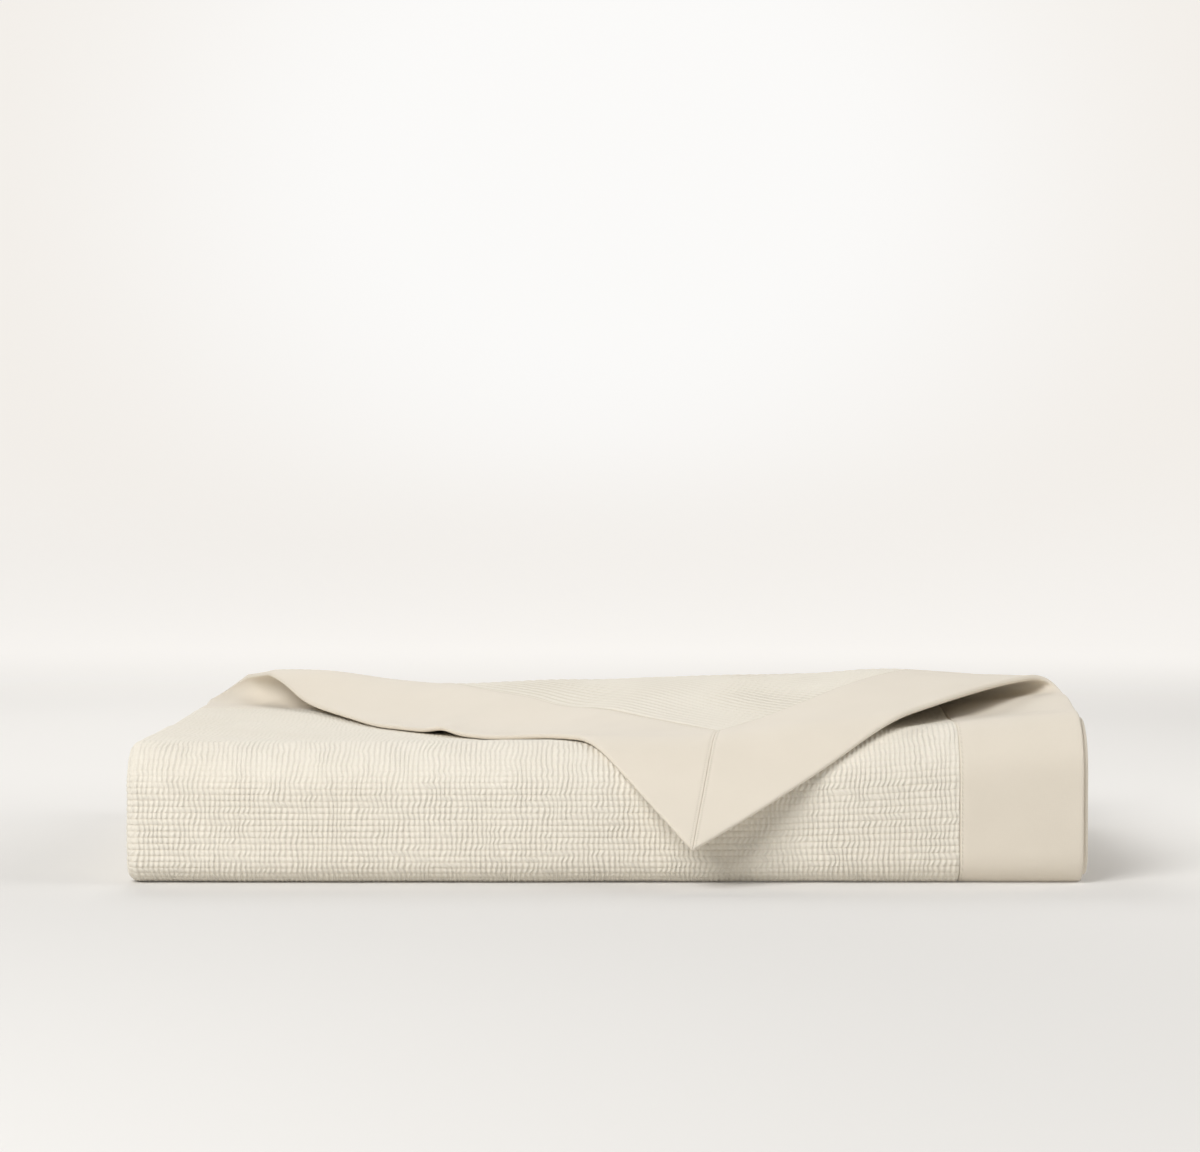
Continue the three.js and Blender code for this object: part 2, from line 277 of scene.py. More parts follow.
def fold(u, s, out):
    # flat points of the cloth, carried through all its folds to their places in metres
    u, s = np.asarray(u, float), np.asarray(s, float)
    x, offset = across.place(u, out)
    onTop = (u < topEnd) & (s <= deep - shoulder)
    dx, turnedY, dh = turnOver(u, s, out)
    length, lifted = overFront(turnedY, shoulderTurn + offset + dh)
    x = x + np.where(onTop, dx, 0)
    y, z = along.place(np.where(onTop, length, s), np.where(onTop, lifted, offset))
    sagDeep = stackSizes["sagDeep"]
    sag = easedTable(sagDeep, np.clip(y, sagDeep[0][0], sagDeep[-1][0])) * np.interp(x, heightX, sagZ)
    z = z * np.interp(x, heightX, heightZ) / stackHigh * (1 - sag)
    return np.stack([x, y, z], axis=-1) * mm + np.array([cadShift.x, cadShift.y, 0])


def latticeNoise(x, y, seed):
    # smooth seeded noise from -1 to 1, one lattice step per unit
    table = np.random.default_rng(seed).uniform(-1, 1, (64, 64))
    ix, iy = np.floor(x).astype(int), np.floor(y).astype(int)
    fx, fy = ease(0, 1, x - ix), ease(0, 1, y - iy)
    near = table[ix % 64, iy % 64] * (1 - fx) + table[(ix + 1) % 64, iy % 64] * fx
    far = table[ix % 64, (iy + 1) % 64] * (1 - fx) + table[(ix + 1) % 64, (iy + 1) % 64] * fx
    return near * (1 - fy) + far * fy


def cellNoise(x, y, cell, seed):
    # the same, with a lattice step of the given width and length
    return latticeNoise(x / cell[0], y / cell[1], seed)


# Rows of stitching are counted along the outer face of the cloth, so they stay even over a turn.
rowLengths = np.arange(0, clothLong, 1.0)
rowY, rowZ = along.place(rowLengths, bundleHalf)
rowWalk = np.concatenate([[0], np.cumsum(np.hypot(np.diff(rowY), np.diff(rowZ)))])

quilting = {
    "rowPitch": 3.95,
    "rowDepth": 0.55,
    "rowWidth": 0.65,
    "rowsFrom": (372, 402),
    "topRowsTo": (315, 352),
    "puckerPitch": 3.05,
    "puckerDepth": 0.34,
    "puckerSway": 1.0,
    "puckerSkew": (0.25, 1),
    "rowPress": 0.6,
    "shift": 1.0,
    "fadeIn": (350, 370),
    "onTop": 0.4,
    "turnedRows": 1.7,
    "turnedPuckers": 0.3,
    "turnedSway": 0.22,
    # how far apart the pattern's irregularities are, across and along
    "leanCell": 10,
    "swayCell": (10, 11),
    "longSwayCell": (23, 19),
    "longSwayShare": 0.7,
    "rowCell": (24, 14),
    "puckerCell": (7, 10),
    "turnedCell": (60, 45),
    "looseLean": 0.45,
    "looseRows": 0.3,
    "rowEvenness": (0.85, 0.25),
    "puckerEvenness": (0.82, 0.3),
}


def quiltPattern(u, s, side):
    # puckers counted in waves, rows counted from the hem, and how deep each is at a flat point
    q = quilting
    walked = np.interp(s, rowLengths, rowWalk)
    row = walked / q["rowPitch"]
    tight = np.maximum(ease(*q["rowsFrom"], s), 1 - ease(*q["topRowsTo"], s))
    # from one stitched row to the next the puckers lean to and fro, more so where the rows are tight
    lean = q["shift"] * (q["looseLean"] + (1 - q["looseLean"]) * tight)
    step = lean * latticeNoise(u / q["leanCell"], row, 7)
    sway = cellNoise(u, walked, q["swayCell"], 1)
    sway = q["puckerSway"] * (sway + q["longSwayShare"] * cellNoise(u, walked, q["longSwayCell"], 2))
    wave = (u + sway + step) / q["puckerPitch"]
    shown = q["onTop"] + (1 - q["onTop"]) * ease(*q["fadeIn"], s)
    rowLevel, rowSwing = q["rowEvenness"]
    rows = shown * (q["looseRows"] + (1 - q["looseRows"]) * tight)
    rows = rows * (rowLevel + rowSwing * cellNoise(u, s, q["rowCell"], 5))
    puckerLevel, puckerSwing = q["puckerEvenness"]
    puckers = shown * (puckerLevel + puckerSwing * cellNoise(u, walked, q["puckerCell"], 3))
    turned = side < 0
    row = row + np.where(turned, q["turnedSway"] * cellNoise(u, s, q["turnedCell"], 31), 0)
    return wave, row, np.where(turned, q["turnedRows"], rows), np.where(turned, q["turnedPuckers"], puckers)


def quiltRelief(u, s, side, fine):
    # height of the quilted face over its middle level: stitched rows, and puckers that cross them
    q = quilting
    wave, row, rows, puckers = quiltPattern(u, s, side)
    toRow = (row + 0.5) % 1 - 0.5
    trough = np.exp(-(toRow * q["rowPitch"] / q["rowWidth"]) ** 2)
    if not fine:
        return -q["rowDepth"] * rows * trough
    turn = 2 * math.pi * wave
    skew, skewFrom = q["puckerSkew"]
    ripple = (np.sin(turn) + skew * np.sin(2 * turn + skewFrom)) * (1 - q["rowPress"] * rows * trough)
    return q["puckerDepth"] * puckers * ripple - q["rowDepth"] * rows * trough


def rowStations(low, high, shares):
    # lengths along the cloth that fall on the same shares of every stitched row between low and high
    rows = np.arange(math.floor(np.interp(low, rowLengths, rowWalk) / quilting["rowPitch"]),
                     math.ceil(np.interp(high, rowLengths, rowWalk) / quilting["rowPitch"]) + 1)
    walked = (rows[:, None] + np.array(shares)).ravel() * quilting["rowPitch"]
    marks = np.interp(walked, rowWalk, rowLengths)
    return marks[(marks > low) & (marks < high)]


def zipRows(a, b, ta, tb, flip=False):
    # triangles between two rows of points that run side by side
    faces, i, j = [], 0, 0
    while i < len(a) - 1 or j < len(b) - 1:
        if j == len(b) - 1 or (i < len(a) - 1 and ta[i + 1] <= tb[j + 1]):
            face = (a[i], a[i + 1], b[j])
            i += 1
        else:
            face = (a[i], b[j + 1], b[j])
            j += 1
        faces.append(face[::-1] if flip else face)
    return faces


class ClothMesh:
    # collects flat points with their distance out of the cloth's middle, and faces between them
    def __init__(self, name):
        self.name, self.u, self.s, self.out, self.faces, self.count = name, [], [], [], [], 0

    def grid(self, u, s, out):
        # adds a grid of points (rows along s, columns along u) and returns their numbers
        u, s, out = np.broadcast_arrays(u, s, out)
        self.u.append(u.ravel())
        self.s.append(s.ravel())
        self.out.append(out.ravel())
        ids = np.arange(u.size).reshape(u.shape) + self.count
        self.count += u.size
        return ids

    def skin(self, ids, flip=False, keep=None):
        a, b, c, d = ids[:-1, :-1], ids[:-1, 1:], ids[1:, 1:], ids[1:, :-1]
        quads = np.stack([a, d, c, b] if flip else [a, b, c, d], axis=-1)
        quads = quads[keep] if keep is not None else quads.reshape(-1, 4)
        self.faces += quads.tolist()

    def wall(self, top, bottom, flip=False):
        top, bottom = np.asarray(top), np.asarray(bottom)
        quads = np.stack([top[:-1], bottom[:-1], bottom[1:], top[1:]], axis=-1)
        self.faces += (quads[:, ::-1] if flip else quads).tolist()

    def build(self):
        # folds the points into place and keeps their flat places and the quilting for the materials
        u, s, out = np.concatenate(self.u), np.concatenate(self.s), np.concatenate(self.out)
        mesh = bpy.data.meshes.new(self.name)
        mesh.from_pydata(fold(u, s, out), [], self.faces)
        flat = mesh.attributes.new("flat", "FLOAT_VECTOR", "POINT")
        flat.data.foreach_set("vector", (np.stack([u, s, out], axis=-1) * mm).ravel())
        wave, row, rows, puckers = quiltPattern(u, s, out)
        pattern = mesh.attributes.new("quilting", "FLOAT_VECTOR", "POINT")
        pattern.data.foreach_set("vector", np.stack([wave, row, rows], axis=-1).ravel())
        depth = mesh.attributes.new("puckers", "FLOAT", "POINT")
        depth.data.foreach_set("value", puckers)
        mesh.shade_smooth()
        obj = bpy.data.objects.new(self.name, mesh)
        bpy.context.collection.objects.link(obj)
        return obj


fieldSizes = {
    # how far apart the points stand: on the front, on the top and back, at a fold, and inside the stack
    "frontAcross": 0.82,
    "frontTurnStep": 1.0,
    "topStep": 6,
    "topTurnStep": 1.4,
    "backStep": (8, 4),
    "innerStep": 60,
    "innerTurnStep": 4.4,
    "innerTurnStretch": 1.4,
    "coarseRim": (0, 0.5, 1.2),
    "fineRim": (0, 0.35, 0.8),
    "coarseFrom": 3,
    "fineFrom": 1.6,
    "rowsStart": 2,
    "plyStep": 0.4,
    "edgeRound": 1.4,
    "seamThin": 0.35,
    "unevenness": 0.5,
    "unevenCell": (55, 40),
    "fineUnevenCell": (23, 19),
    # the finely meshed front starts before the shoulder, ends past the foot and reaches past the left fold
    "fineBefore": 5,
    "fineAfter": 4,
    "pastFold": 14,
    "frontRows": (0, 0.27, 0.73),
    "topRows": (0, 0.5),
}


def fieldOut(u, s, side, relief="rows"):
    # distance of the quilted face or back from the cloth's middle, thinned to its seams
    f = fieldSizes
    edge = clothSizes["border"] + clothSizes["seamGap"] / 2
    toSeam = np.minimum.reduce([u - edge, clothWide - edge - u, s - edge, clothLong - edge - s])
    rim = np.clip(toSeam / f["edgeRound"], 0, 1)
    body = thick / 2 * (f["seamThin"] + (1 - f["seamThin"]) * np.sqrt(1 - (1 - rim) ** 2))
    if relief == "none":
        return side * body
    uneven = cellNoise(u, s, f["unevenCell"], 11) + 0.5 * cellNoise(u, s, f["fineUnevenCell"], 12)
    uneven = f["unevenness"] * uneven
    return side * (body + (quiltRelief(u, s, side, relief == "puckers") + uneven) * rim)


def quiltedField():
    edge = clothSizes["border"] + clothSizes["seamGap"] / 2
    cloth = ClothMesh("quiltedField")
    f = fieldSizes
    split = deep - shoulder - f["fineBefore"]
    frontEnd = along.legs[4][0] + f["fineAfter"]
    last = topEnd + f["pastFold"]
    coarseRim, fineRim = edge + np.array(f["coarseRim"]), edge + np.array(f["fineRim"])
    coarseU = across.stations(edge + f["coarseFrom"], last, f["topStep"], f["topTurnStep"])
    coarseU = np.concatenate([coarseRim, coarseU])
    fineU = across.stations(edge + f["fineFrom"], last, f["frontAcross"], f["frontTurnStep"])
    fineU = np.concatenate([fineRim, fineU])
    topS = np.concatenate([coarseRim, rowStations(edge + f["rowsStart"], split, f["topRows"])])
    frontS = rowStations(split + 1, frontEnd, f["frontRows"])
    backS = np.concatenate([topS, along.stations(split + 2, frontS[-1], *f["backStep"])])

    def sheet(us, ss, side, relief="rows"):
        uGrid, sGrid = np.meshgrid(us, ss)
        return cloth.grid(uGrid, sGrid, fieldOut(uGrid, sGrid, side, relief))

    top = sheet(coarseU, topS, 1)
    front = sheet(fineU, frontS, 1, "puckers")
    back = sheet(coarseU, backS, -1)
    cloth.skin(top)
    cloth.skin(front)
    cloth.skin(back, flip=True)
    cloth.faces += zipRows(top[-1], front[0], coarseU, fineU)
    cloth.wall(top[0], back[0])
    cloth.faces += zipRows(front[-1], back[-1], fineU, coarseU)
    faceS = np.concatenate([topS, frontS])
    for column, flip in ((0, True), (-1, False)):
        faceColumn = np.concatenate([top[:, column], front[:, column]])
        cloth.faces += zipRows(faceColumn, back[:, column], faceS, backS, flip)

    # the plies inside the fold, left out where the outer ply above already is
    rim = coarseRim[-1]
    cutU, cutS = last + f["plyStep"], frontS[-1] + f["plyStep"]
    innerU = np.unique(np.concatenate([
        across.stations(edge, clothWide - edge, f["innerStep"], f["innerTurnStep"]),
        [cutU, rim, clothWide - rim]]))
    innerS = np.unique(np.concatenate([
        along.stations(edge, clothLong - edge, f["innerStep"], f["innerTurnStep"] * f["innerTurnStretch"]),
        [cutS, rim, clothLong - rim]]))
    uGrid, sGrid = np.meshgrid(innerU, innerS)
    face = cloth.grid(uGrid, sGrid, fieldOut(uGrid, sGrid, 1, "none"))
    under = cloth.grid(uGrid, sGrid, fieldOut(uGrid, sGrid, -1, "none"))
    keep = ~((uGrid[:-1, 1:] <= cutU + 0.1) & (sGrid[1:, :-1] <= cutS + 0.1))
    cloth.skin(face, keep=keep)
    cloth.skin(under, flip=True, keep=keep)
    column, row = int(np.searchsorted(innerU, cutU - 1e-6)), int(np.searchsorted(innerS, cutS - 1e-6))
    cloth.wall(face[0, column:], under[0, column:])
    cloth.wall(face[-1], under[-1], flip=True)
    cloth.wall(face[row:, 0], under[row:, 0], flip=True)
    cloth.wall(face[:, -1], under[:, -1])
    cloth.wall(face[row, :column + 1], under[row, :column + 1])
    cloth.wall(face[:row + 1, column], under[:row + 1, column], flip=True)
    return cloth.build()


borderSizes = {
    "acrossStep": 3.4,
    "acrossFrom": 3,
    "topStep": 3.2,
    "innerStep": 40,
    "turnStep": 3.0,
    "hemRound": 1.5,
    "hemThin": 0.1,
    "seamRound": 0.9,
    "seamThin": 0.4,
    "mitreThin": 0.75,
    "mitreGap": 0.12,
    "stitchIn": 1.7,
    "stitchDepth": 0.22,
    "stitchWide": 0.5,
    "mitreStitchWide": 0.6,
    "puff": 0.12,
    "unevenness": 0.4,
    "unevenCell": (47, 41),
    "fineUnevenCell": (19, 23),
    "evenEdge": 6,
    # rows of points close to the hem and to the seam, and how the mitre's rows fan out
    "hemRows": (0, 0.25, 0.7, 1.5),
    "seamRows": (2.3, 1.7, 1.1, 0.5, 0),
    "mitreRows": (0, 0.012, 0.03, 0.05),
    "mitreRowsOn": (0.09, 22),
    "pastMitre": 6,
    "fineTo": 110,
}


def borderOut(u, s, side):
    # distance of a border's face or back from its middle: round hems, pinched seams, one edge stitch
    b = borderSizes
    toHem = np.minimum.reduce([u, clothWide - u, s, clothLong - s])
    toSeam = clothSizes["border"] - clothSizes["seamGap"] / 2 - toHem
    cross, length = np.minimum(u, clothWide - u), np.minimum(s, clothLong - s)
    toMitre = np.abs(cross - length) / math.sqrt(2)
    hem = np.sqrt(np.clip(1 - (1 - np.clip(toHem / b["hemRound"], 0, 1)) ** 2, 0, 1))
    seam = b["seamThin"] + (1 - b["seamThin"]) * np.clip(toSeam / b["seamRound"], 0, 1)
    mitre = b["mitreThin"] + (1 - b["mitreThin"]) * np.clip(toMitre / b["seamRound"], 0, 1)
    stitch = b["stitchDepth"] * (np.exp(-((toSeam - b["stitchIn"]) / b["stitchWide"]) ** 2)
                                 + np.exp(-((toMitre - b["stitchIn"]) / b["mitreStitchWide"]) ** 2))
    body = (thick / 2 + b["puff"]) * (b["hemThin"] + (1 - b["hemThin"]) * hem) * seam * mitre
    uneven = cellNoise(u, s, b["unevenCell"], 21) + 0.5 * cellNoise(u, s, b["fineUnevenCell"], 22)
    uneven = b["unevenness"] * uneven * np.clip(np.minimum(toHem, toSeam) / b["evenEdge"], 0, 1)
    return side * (body - stitch + uneven)


def borderStrip(name, course, place):
    # one mitred strip: a runs in from the hem, b along it, and place says where that is on the cloth
    b = borderSizes
    cloth = ClothMesh(name)
    wide = clothSizes["border"] - clothSizes["seamGap"] / 2
    mitre = b["mitreGap"] / math.sqrt(2)
    inner = np.arange(b["acrossFrom"], wide - b["acrossFrom"], b["acrossStep"])
    aRow = np.concatenate([b["hemRows"], inner, wide - np.array(b["seamRows"])])
    long = course.length
    corner = wide + b["pastMitre"]
    fineTo = deep + b["fineTo"]
    fine = course.stations(corner, min(fineTo, long - corner), b["topStep"], b["turnStep"])
    rest = course.stations(fineTo, long - corner, b["innerStep"], b["turnStep"])
    middle = np.concatenate([fine, rest[1:]]) if long > fineTo + corner else fine
    fanFrom, fanCount = b["mitreRowsOn"]
    steps = np.concatenate([b["mitreRows"], np.linspace(fanFrom, 1, fanCount)[:-1]])
    rows = [aRow + mitre + (corner - aRow - mitre) * t for t in steps]
    rows += [np.full(aRow.shape, m) for m in middle]
    rows += [long - (aRow + mitre + (corner - aRow - mitre) * t) for t in steps[::-1]]
    bGrid = np.array(rows)
    aGrid = np.broadcast_to(aRow, bGrid.shape)
    uGrid, sGrid, mirrored = place(aGrid, bGrid)
    face = cloth.grid(uGrid, sGrid, borderOut(uGrid, sGrid, 1))
    back = cloth.grid(uGrid, sGrid, borderOut(uGrid, sGrid, -1))
    cloth.skin(face, flip=mirrored)
    cloth.skin(back, flip=not mirrored)
    cloth.wall(face[0], back[0], flip=mirrored)
    cloth.wall(face[-1], back[-1], flip=not mirrored)
    cloth.wall(face[:, 0], back[:, 0], flip=not mirrored)
    cloth.wall(face[:, -1], back[:, -1], flip=mirrored)
    return cloth.build()


# Materials

class Node:
    # wraps a socket, so that shader maths reads as plain sums
    def __init__(self, tree, socket):
        self.tree, self.socket = tree, socket

    def maths(self, operation, *values):
        return addNode(self.tree, "ShaderNodeMath", {"operation": operation}, dict(enumerate(values)))

    def __add__(self, other):
        return self.maths("ADD", self, other)

    def __radd__(self, other):
        return self.maths("ADD", other, self)

    def __sub__(self, other):
        return self.maths("SUBTRACT", self, other)

    def __rsub__(self, other):
        return self.maths("SUBTRACT", other, self)

    def __mul__(self, other):
        return self.maths("MULTIPLY", self, other)

    def __rmul__(self, other):
        return self.maths("MULTIPLY", other, self)

    def __truediv__(self, other):
        return self.maths("DIVIDE", self, other)

    def __rtruediv__(self, other):
        return self.maths("DIVIDE", other, self)

    def sine(self):
        return self.maths("SINE", self)

    def exponent(self):
        return self.maths("EXPONENT", self)

    def size(self):
        return self.maths("ABSOLUTE", self)

    def fraction(self):
        return self.maths("FRACT", self)

    def least(self, other):
        return self.maths("MINIMUM", self, other)

    def limited(self):
        return addNode(self.tree, "ShaderNodeClamp", {}, {"Value": self})

    def parts(self):
        first = addNode(self.tree, "ShaderNodeSeparateXYZ", {}, {0: self})
        return [Node(self.tree, socket) for socket in first.socket.node.outputs]


def addNode(tree, kind, settings, values, output=0):
    # adds a node, with its settings first and then the values or links of its sockets
    node = tree.nodes.new(kind)
    for key, value in settings.items():
        setattr(node, key, value)
    for key, value in values.items():
        if isinstance(value, Node):
            tree.links.new(value.socket, node.inputs[key])
        else:
            node.inputs[key].default_value = value
    return Node(tree, node.outputs[output])


def newMaterial(name):
    material = bpy.data.materials.new(name)
    material.use_nodes = True
    tree = material.node_tree
    return material, tree, tree.nodes["Principled BSDF"]


def stored(tree, name, output="Vector"):
    # what the mesh stores at each point of the cloth
    return addNode(tree, "ShaderNodeAttribute", {"attribute_name": name}, {}, output)


def noise(tree, vector, scale, detail=2.0, roughness=0.5):
    values = {"Vector": vector, "Scale": scale, "Detail": detail, "Roughness": roughness}
    return addNode(tree, "ShaderNodeTexNoise", {"noise_dimensions": "3D"}, values)


def streaks(tree, vector, scale):
    # noise drawn out along the coarser of two scales, like threads
    stretched = addNode(tree, "ShaderNodeMapping", {}, {"Vector": vector, "Scale": scale})
    return noise(tree, stretched, 1)


def bumped(tree, height):
    # relief with a height in millimetres
    return addNode(tree, "ShaderNodeBump", {}, {"Strength": 1.0, "Distance": mm, "Height": height})


def smoothShare(tree, value, low, high):
    limits = {"Value": value, "From Min": low, "From Max": high}
    return addNode(tree, "ShaderNodeMapRange", {"interpolation_type": "SMOOTHSTEP"}, limits)


def distance(tree, a, b):
    return addNode(tree, "ShaderNodeVectorMath", {"operation": "DISTANCE"}, {0: a, 1: b}, "Value")


def mixColour(tree, share, low, high):
    # a Mix node's colours are its inputs 6 and 7 and its output 2
    return addNode(tree, "ShaderNodeMix", {"data_type": "RGBA"}, {0: share, 6: low, 7: high}, 2)


def linear(r, g, b):
    # a colour from its 0 to 255 display values
    return tuple(((c / 255 + 0.055) / 1.055) ** 2.4 for c in (r, g, b)) + (1.0,)


quiltLook = {
    "light": linear(238, 232, 219),
    "dark": linear(226, 218, 202),
    "roughness": 0.92,
    "sheen": 0.12,
    # heights in millimetres of the finest relief
    "puckers": 0.24,
    "stitches": 0.26,
    "stitchWidth": 0.42,
    "crinkle": 0.16,
    "paintedRowShade": 0.7,
    "crinkleScale": 450,
    "patchScale": 14,
    "specular": 0.2,
    # how much a stitched row presses its puckers, and what makes up the colour: random patches and crinkle,
    # painted shade in the stitched rows' troughs, and painted highlight and shade on the puckers' crests and
    # hollows
    "rowPress": 0.5,
    "ground": 0.3,
    "patchShade": 0.5,
    "crinkleShade": 0.3,
    "paintedPuckerShade": 0.12,
}


def quiltMaterial():
    q = quiltLook
    material, tree, shader = newMaterial("quiltedCloth")
    flat = stored(tree, "flat")
    wave, row, rows = stored(tree, "quilting").parts()
    puckers = stored(tree, "puckers", "Fac")
    crinkle = noise(tree, flat, q["crinkleScale"], 2, 0.6)
    patches = noise(tree, flat, q["patchScale"], 1)
    toRow = ((row + 0.5).fraction() - 0.5) * (quilting["rowPitch"] / q["stitchWidth"])
    trough = (toRow * toRow * -1).exponent()
    ripple = (wave * (2 * math.pi)).sine() * puckers * (1 - trough * rows * q["rowPress"])
    height = ripple * q["puckers"] - trough * rows * q["stitches"] + crinkle * q["crinkle"]
    bump = bumped(tree, height)
    # the colour carries painted shade: darker in the stitched rows' troughs, lighter on pucker crests and
    # darker in their hollows
    shade = patches * q["patchShade"] + q["ground"] + crinkle * q["crinkleShade"]
    shade = shade + ripple * q["paintedPuckerShade"] - trough * rows * q["paintedRowShade"]
    colour = mixColour(tree, shade.limited(), q["dark"], q["light"])
    tree.links.new(colour.socket, shader.inputs["Base Color"])
    tree.links.new(bump.socket, shader.inputs["Normal"])
    shader.inputs["Roughness"].default_value = q["roughness"]
    shader.inputs["Sheen Weight"].default_value = q["sheen"]
    shader.inputs["Specular IOR Level"].default_value = q["specular"]
    return material


borderLook = {
    "light": linear(232, 223, 208),
    "dark": linear(221, 212, 196),
    "roughness": 0.72,
    "sheen": 0.18,
    # heights in millimetres of the weave and of the stitching beside the seams
    "weave": 0.1,
    "stitches": 0.25,
    "stitchPitch": 2.4,
    "stitchWide": 0.45,
    "threadScale": (3000, 240),
    "patchScale": 26,
    "specular": 0.3,
    # what makes up the colour: soft patches, the weave, and painted shade in the stitch dents
    "patchShade": 0.6,
    "weaveShade": 0.4,
    "paintedStitchShade": 0.8,
}


def borderMaterial():
    b = borderLook
    material, tree, shader = newMaterial("borderCloth")
    flat = stored(tree, "flat")
    u, s, _ = flat.parts()
    fine, long = b["threadScale"]
    weave = streaks(tree, flat, (fine, long, 1)) * 0.5 + streaks(tree, flat, (long, fine, 1)) * 0.5
    soft = noise(tree, flat, b["patchScale"])
    cross, length = u.least(clothWide * mm - u), s.least(clothLong * mm - s)
    inSeam, stitchWide = borderSizes["stitchIn"] * mm, b["stitchWide"] * mm
    toSeam = (clothSizes["border"] * mm - cross.least(length) - inSeam) / stitchWide
    toMitre = ((cross - length).size() / math.sqrt(2) - inSeam) / stitchWide
    dots = ((u + s) * (2 * math.pi / (b["stitchPitch"] * mm))).sine() * 0.5 + 0.5
    stitches = ((toSeam * toSeam * -1).exponent() + (toMitre * toMitre * -1).exponent()) * dots
    bump = bumped(tree, weave * b["weave"] - stitches * b["stitches"])
    # the stitch dents are darkened in the colour as painted shade
    shade = soft * b["patchShade"] + weave * b["weaveShade"] - stitches * b["paintedStitchShade"]
    colour = mixColour(tree, shade.limited(), b["dark"], b["light"])
    tree.links.new(colour.socket, shader.inputs["Base Color"])
    tree.links.new(bump.socket, shader.inputs["Normal"])
    shader.inputs["Roughness"].default_value = b["roughness"]
    shader.inputs["Sheen Weight"].default_value = b["sheen"]
    shader.inputs["Specular IOR Level"].default_value = b["specular"]
    return material


# Camera

cameraSetup = {
    "distance": 1.830,
    "height": 0.234,
    "sideways": -0.0027,
    "focalPixels": 3078,
    "tiltDown": 1.56,
}


def addCamera():
    c = cameraSetup
    data = bpy.data.cameras.new("camera")
    data.sensor_width = 36
    data.lens = c["focalPixels"] / photoSize[0] * data.sensor_width
    camera = bpy.data.objects.new("camera", data)
    camera.location = (cadShift.x + c["sideways"], cadShift.y - c["distance"], c["height"])
    camera.rotation_euler = (math.radians(90 - c["tiltDown"]), 0, 0)
    bpy.context.collection.objects.link(camera)
    bpy.context.scene.camera = camera


# Studio

studio = {
    # a round floor that curves up into a wall on all sides
    "middle": 1.2,
    "flatTo": 2.6,
    "bend": 1.4,
    "wallTop": 5.0,
    "around": 96,
    "rings": 20,
    # heights and distances over which one glow gives way to the next
    "wallRise": (0.0, 0.35),
    "spotHeight": 0.8,
    "spotEdge": (0.4, 1.3),
    "spotEnd": (1.6, 3.6),
    "glowSide": (0.45, 1.3),
    "glowAway": (2.0, 3.4),
    "floor": (0.74, 0.725, 0.7, 1.0),
    "floorGlow": (0.03, 0.029, 0.028, 1.0),
    "sideGlow": (0.2, 0.196, 0.19, 1.0),
    "farGlow": (0.51, 0.5, 0.488, 1.0),
    "glowFrom": (-0.35, -0.7, 0.0),
    "wall": (0.12, 0.118, 0.115, 1.0),
    "centre": (0.9, 0.895, 0.885, 1.0),
    "edge": (0.83, 0.798, 0.757, 1.0),
    "roomGlow": (0.15, 0.147, 0.143, 1.0),
    "world": (1.0, 0.985, 0.96, 1.0),
    "worldStrength": 0.15,
    "keyPower": 53,
    "keyPlace": (-1.1, -1.8, 1.7),
    "keySize": 1.6,
    "fillPower": 12,
    "fillPlace": (1.8, -0.3, 1.4),
    "fillSize": 1.4,
    "topPower": 15,
    "topPlace": (-0.5, 1.5, 1.7),
    "topSize": 1.2,
    "lightsAim": (0, 0, 0.05),
}


def addLight(name, place, size, power):
    data = bpy.data.lights.new(name, "AREA")
    data.shape, data.size, data.energy = "DISK", size, power
    light = bpy.data.objects.new(name, data)
    light.location = place
    toAim = Vector(studio["lightsAim"]) - Vector(place)
    light.rotation_euler = toAim.to_track_quat("-Z", "Y").to_euler()
    bpy.context.collection.objects.link(light)


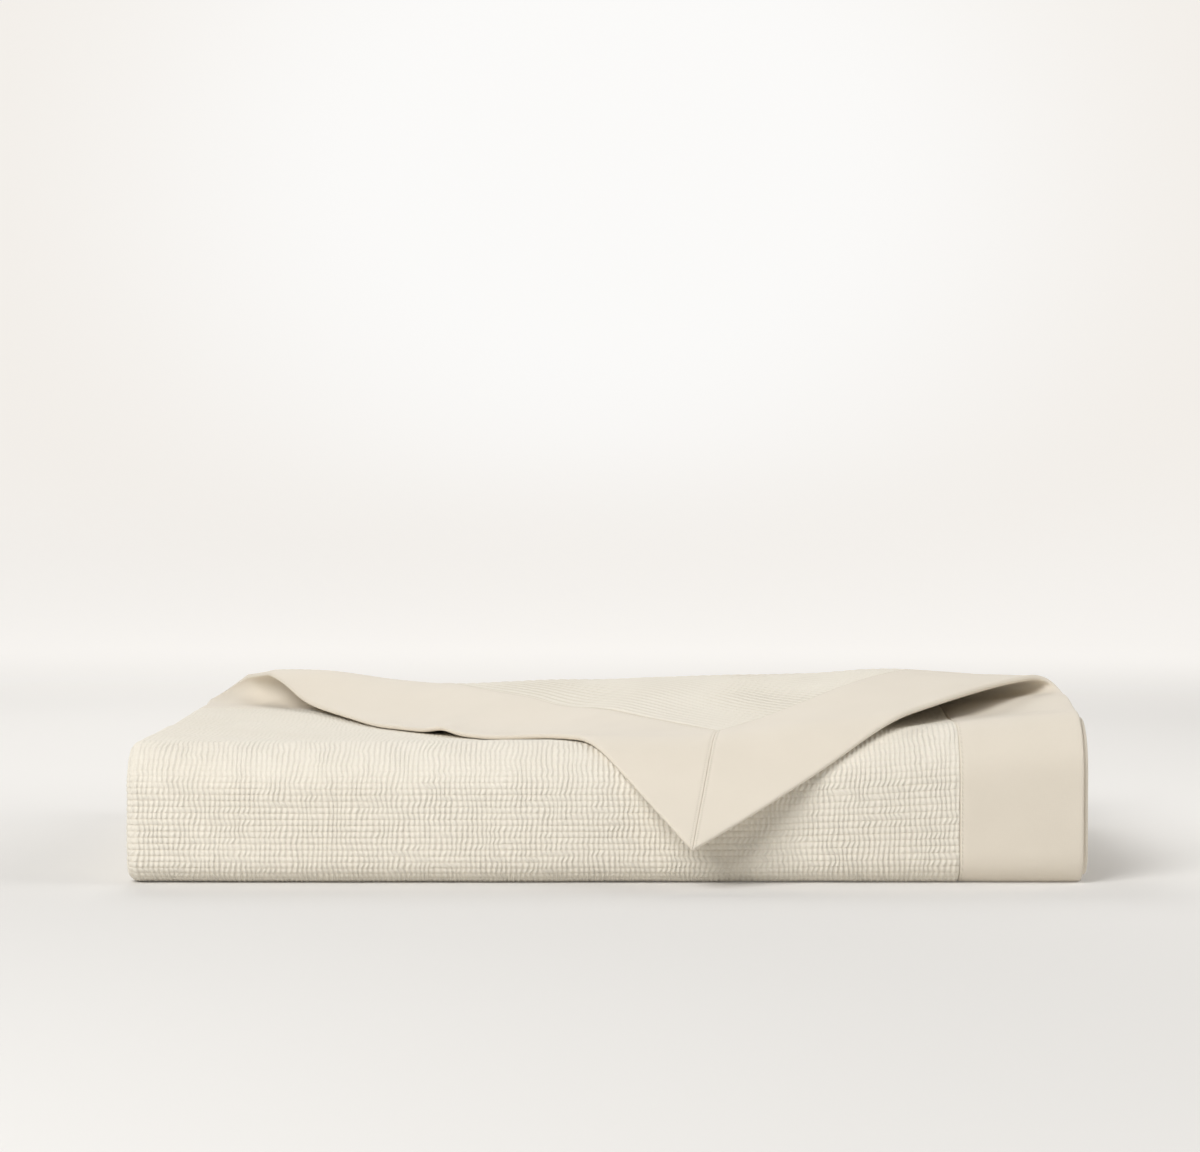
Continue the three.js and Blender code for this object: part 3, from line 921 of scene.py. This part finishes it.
def addStudio():
    scene = bpy.context.scene
    scene.view_settings.view_transform = "Standard"
    scene.world = bpy.data.worlds.new("studio")
    scene.world.use_nodes = True
    background = scene.world.node_tree.nodes["Background"]
    background.inputs[0].default_value = studio["world"]
    background.inputs[1].default_value = studio["worldStrength"]

    flatTo, bend, around = studio["flatTo"], studio["bend"], studio["around"]
    profile = [(0.0, 0.0), (studio["middle"], 0.0), (flatTo, 0.0)]
    for t in np.linspace(0, quarter, studio["rings"])[1:]:
        profile.append((flatTo + bend * math.sin(t), bend * (1 - math.cos(t))))
    profile.append((flatTo + bend, studio["wallTop"]))
    mesh = bpy.data.meshes.new("studioFloor")
    points = [(0.0, 0.0, 0.0)]
    points += [(r * math.cos(2 * math.pi * k / around), r * math.sin(2 * math.pi * k / around), z)
               for r, z in profile[1:] for k in range(around)]
    faces = [(0, 1 + k, 1 + (k + 1) % around) for k in range(around)]
    for ring in range(len(profile) - 2):
        a, b = 1 + ring * around, 1 + (ring + 1) * around
        faces += [(a + k, b + k, b + (k + 1) % around, a + (k + 1) % around) for k in range(around)]
    mesh.from_pydata(points, [], faces)
    mesh.shade_smooth()
    floor = bpy.data.objects.new("studioFloor", mesh)
    bpy.context.collection.objects.link(floor)
    material, tree, shader = newMaterial("studioPaper")
    # the wall behind glows as a painted pool of light, whitest in the middle, and the wall all round glows
    # dimmer
    place = addNode(tree, "ShaderNodeTexCoord", {}, {}, "Object")
    risen = smoothShare(tree, place.parts()[2], *studio["wallRise"])
    spot = distance(tree, place, (0.0, flatTo + bend, studio["spotHeight"]))
    spotGlow = mixColour(tree, smoothShare(tree, spot, *studio["spotEdge"]), studio["centre"], studio["edge"])
    wallGlow = mixColour(tree, smoothShare(tree, spot, *studio["spotEnd"]), spotGlow, studio["roomGlow"])
    # the floor itself glows a little as painted light where the lamps reach it less
    middle = distance(tree, place, studio["glowFrom"])
    nearGlow = mixColour(tree, smoothShare(tree, middle, *studio["glowSide"]), studio["floorGlow"],
                         studio["sideGlow"])
    floorGlow = mixColour(tree, smoothShare(tree, middle, *studio["glowAway"]), nearGlow, studio["farGlow"])
    glow = mixColour(tree, risen, floorGlow, wallGlow)
    paper = mixColour(tree, risen, studio["floor"], studio["wall"])
    tree.links.new(glow.socket, shader.inputs["Emission Color"])
    tree.links.new(paper.socket, shader.inputs["Base Color"])
    shader.inputs["Emission Strength"].default_value = 1.0
    shader.inputs["Roughness"].default_value = 1.0
    shader.inputs["Specular IOR Level"].default_value = 0.0
    mesh.materials.append(material)
    addLight("keyLight", studio["keyPlace"], studio["keySize"], studio["keyPower"])
    addLight("fillLight", studio["fillPlace"], studio["fillSize"], studio["fillPower"])
    addLight("topLight", studio["topPlace"], studio["topSize"], studio["topPower"])


addCamera()
addStudio()
print("camera and studio are ready")

quiltedCloth, borderCloth = quiltMaterial(), borderMaterial()
field = quiltedField()
field.data.materials.append(quiltedCloth)
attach(field, "root")
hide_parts("quilted_field")
field.data.calc_loop_triangles()
print("quilted field:", len(field.data.loop_triangles), "triangles")

strips = {
    "border_right": ("borderRight", along, lambda a, b: (a, b, False)),
    "border_left": ("borderLeft", along, lambda a, b: (clothWide - a, b, True)),
    "border_head": ("borderHead", across, lambda a, b: (b, a, True)),
    "border_foot": ("borderFoot", across, lambda a, b: (b, clothLong - a, False)),
}
borders = []
for node, (name, course, place) in strips.items():
    strip = borderStrip(name, course, place)
    strip.data.materials.append(borderCloth)
    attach(strip, "root")
    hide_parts(node)
    borders.append(strip)
    print(name + ":", len(strip.data.polygons), "faces")

for strip, length in zip(borders, (clothLong, clothLong, clothWide, clothWide)):
    area = (length - clothSizes["border"]) * clothSizes["border"] * mm * mm
